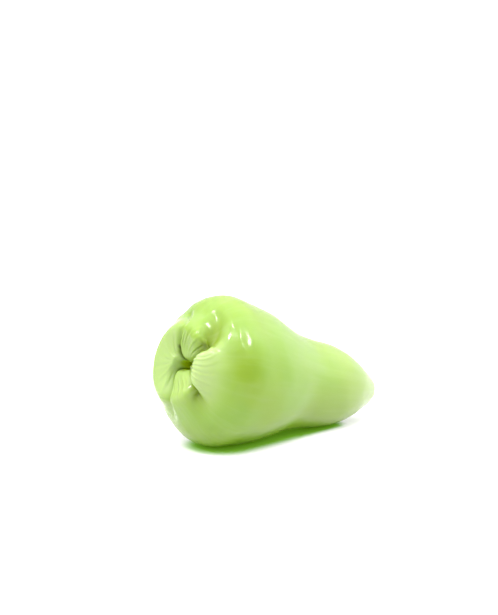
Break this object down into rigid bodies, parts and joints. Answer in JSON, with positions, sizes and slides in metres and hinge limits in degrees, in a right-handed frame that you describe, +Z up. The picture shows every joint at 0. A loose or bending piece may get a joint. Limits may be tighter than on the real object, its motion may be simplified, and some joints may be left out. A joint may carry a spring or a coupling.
{
  "type": "rose apple",
  "caption": "Whole pale green rose apple, a bell-shaped fruit with a folded calyx end, lying on its side.",
  "frame": {"origin": "centre of the bounding box on the surface that the fruit lies on", "axes": "+X along the fruit's length toward its stalk end, with the calyx end toward -X; +Z up"},
  "size_m": [0.0978, 0.0552, 0.0549],
  "materials": {
    "fruit": "waxy skin, soft gloss",
    "stalk_stub": "matte, fibrous"
  },
  "bodies": {
    "root": {"fruit": "fruit", "stalk_stub": "stalk_stub"}
  },
  "joints": []
}
